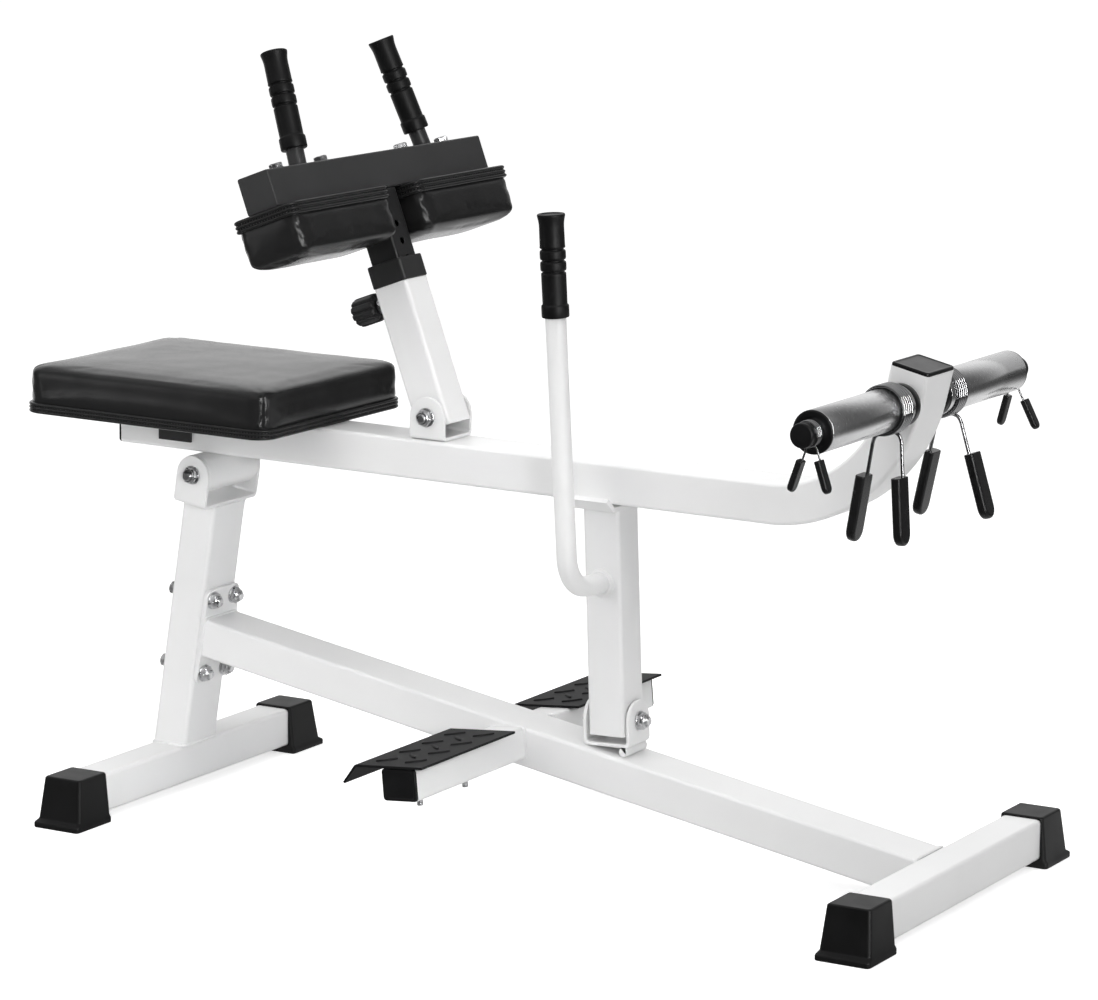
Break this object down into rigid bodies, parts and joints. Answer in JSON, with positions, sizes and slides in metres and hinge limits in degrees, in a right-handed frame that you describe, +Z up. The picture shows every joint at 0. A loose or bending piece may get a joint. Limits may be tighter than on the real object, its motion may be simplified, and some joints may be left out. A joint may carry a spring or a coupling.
{
  "type": "seated calf raise machine",
  "caption": "White box-tube seated calf raise with a pivoting lever arm, padded seat, height-adjustable knee pads with grips, tread plates, weight sleeves with spring collars and a safety post.",
  "frame": {"origin": "middle of the machine's bounding box in plan, on the floor", "axes": "+X from the seat to the weight bar, +Y to the left of a person on the seat, +Z up"},
  "size_m": [1.26, 0.568, 0.9708],
  "materials": {
    "white_paint": "smooth satin white powder coat",
    "black_steel": "satin black powder coat",
    "black_plastic": "moulded satin black plastic",
    "rubber": "matte black moulded rubber",
    "vinyl": "grained black upholstery vinyl with a soft gloss",
    "chrome": "bright chrome plate",
    "satin_chrome": "satin chrome plate",
    "zinc": "bright zinc plate"
  },
  "bodies": {
    "base": {"rear_cross_tube": "white_paint", "front_cross_tube": "white_paint", "foot_rear_near": "rubber", "foot_rear_far": "rubber", "foot_front_near": "rubber", "foot_front_far": "rubber", "rear_upright": "white_paint", "rear_pivot_bracket": "white_paint", "rear_pivot_bolt": "zinc", "base_beam": "white_paint", "foot_bar_near": "white_paint", "foot_bar_far": "white_paint", "foot_bar_plug_near": "black_plastic", "foot_bar_plug_far": "black_plastic", "foot_plate_near": "black_steel", "foot_plate_far": "black_steel", "post_bracket": "white_paint", "post_pivot_bolt": "zinc"},
    "safety_post": {"safety_post": "white_paint", "cradle_plate": "white_paint", "lever_tube": "white_paint", "lever_grip": "rubber"},
    "arm": {"arm_tube": "white_paint", "arm_pivot_sleeve": "white_paint", "arm_rear_plug": "black_plastic", "arm_top_plug": "black_plastic", "seat_bracket": "black_steel", "seat_cushion": "vinyl", "knee_bracket": "white_paint", "knee_pivot_bolt": "zinc", "weight_bar": "chrome", "sleeve_inner_ring_near": "black_plastic", "sleeve_inner_ring_far": "black_plastic", "weight_sleeve_near": "satin_chrome", "weight_sleeve_far": "satin_chrome", "sleeve_outer_ring_near": "black_plastic", "sleeve_outer_ring_far": "black_plastic", "bar_cap_near": "black_plastic", "bar_cap_far": "black_plastic", "small_collar_near": "chrome", "small_collar_grip_near_rear": "black_plastic", "small_collar_grip_near_front": "black_plastic", "small_collar_far": "chrome", "small_collar_grip_far_rear": "black_plastic", "small_collar_grip_far_front": "black_plastic"},
    "knee_post": {"knee_post": "white_paint", "knee_collar": "black_plastic"},
    "pull_pin": {"pull_pin": "black_plastic"},
    "knee_rest": {"knee_mast": "black_steel", "knee_box": "black_steel", "knee_pad_near": "vinyl", "knee_pad_far": "vinyl", "handle_grip_near": "rubber", "handle_grip_far": "rubber"},
    "collar_near": {"large_collar_near": "chrome", "large_collar_grip_near_rear": "black_plastic", "large_collar_grip_near_front": "black_plastic"},
    "collar_far": {"large_collar_far": "chrome", "large_collar_grip_far_rear": "black_plastic", "large_collar_grip_far_front": "black_plastic"}
  },
  "joints": [
    {"name": "arm_pivot", "type": "hinge", "parent": "base", "child": "arm", "pos_m": [-0.43815, 0, 0.4222], "axis": [0, -1, 0], "range_deg": [0, 15]},
    {"name": "safety_post_swing", "type": "hinge", "parent": "base", "child": "safety_post", "pos_m": [0.14757, 0, 0.16912], "axis": [0.9995, 0, 0.0332], "range_deg": [0, 20]},
    {"name": "knee_post_tilt", "type": "hinge", "parent": "arm", "child": "knee_post", "pos_m": [-0.10264, 0, 0.52133], "axis": [0, 1, 0], "range_deg": [0, 38]},
    {"name": "knee_height", "type": "slide", "parent": "knee_post", "child": "knee_rest", "axis": [-0.342, 0, 0.9397], "range_m": [-0.045, 0.0675]},
    {"name": "pin_pull", "type": "slide", "parent": "knee_post", "child": "pull_pin", "axis": [-0.9397, 0, -0.342], "range_m": [0, 0.012], "stiffness_N_per_m": 400, "springref_m": -0.01},
    {"name": "collar_near_slide", "type": "slide", "parent": "arm", "child": "collar_near", "axis": [0, -1, 0], "range_m": [0, 0.14]},
    {"name": "collar_far_slide", "type": "slide", "parent": "arm", "child": "collar_far", "axis": [0, 1, 0], "range_m": [0, 0.14]}
  ]
}
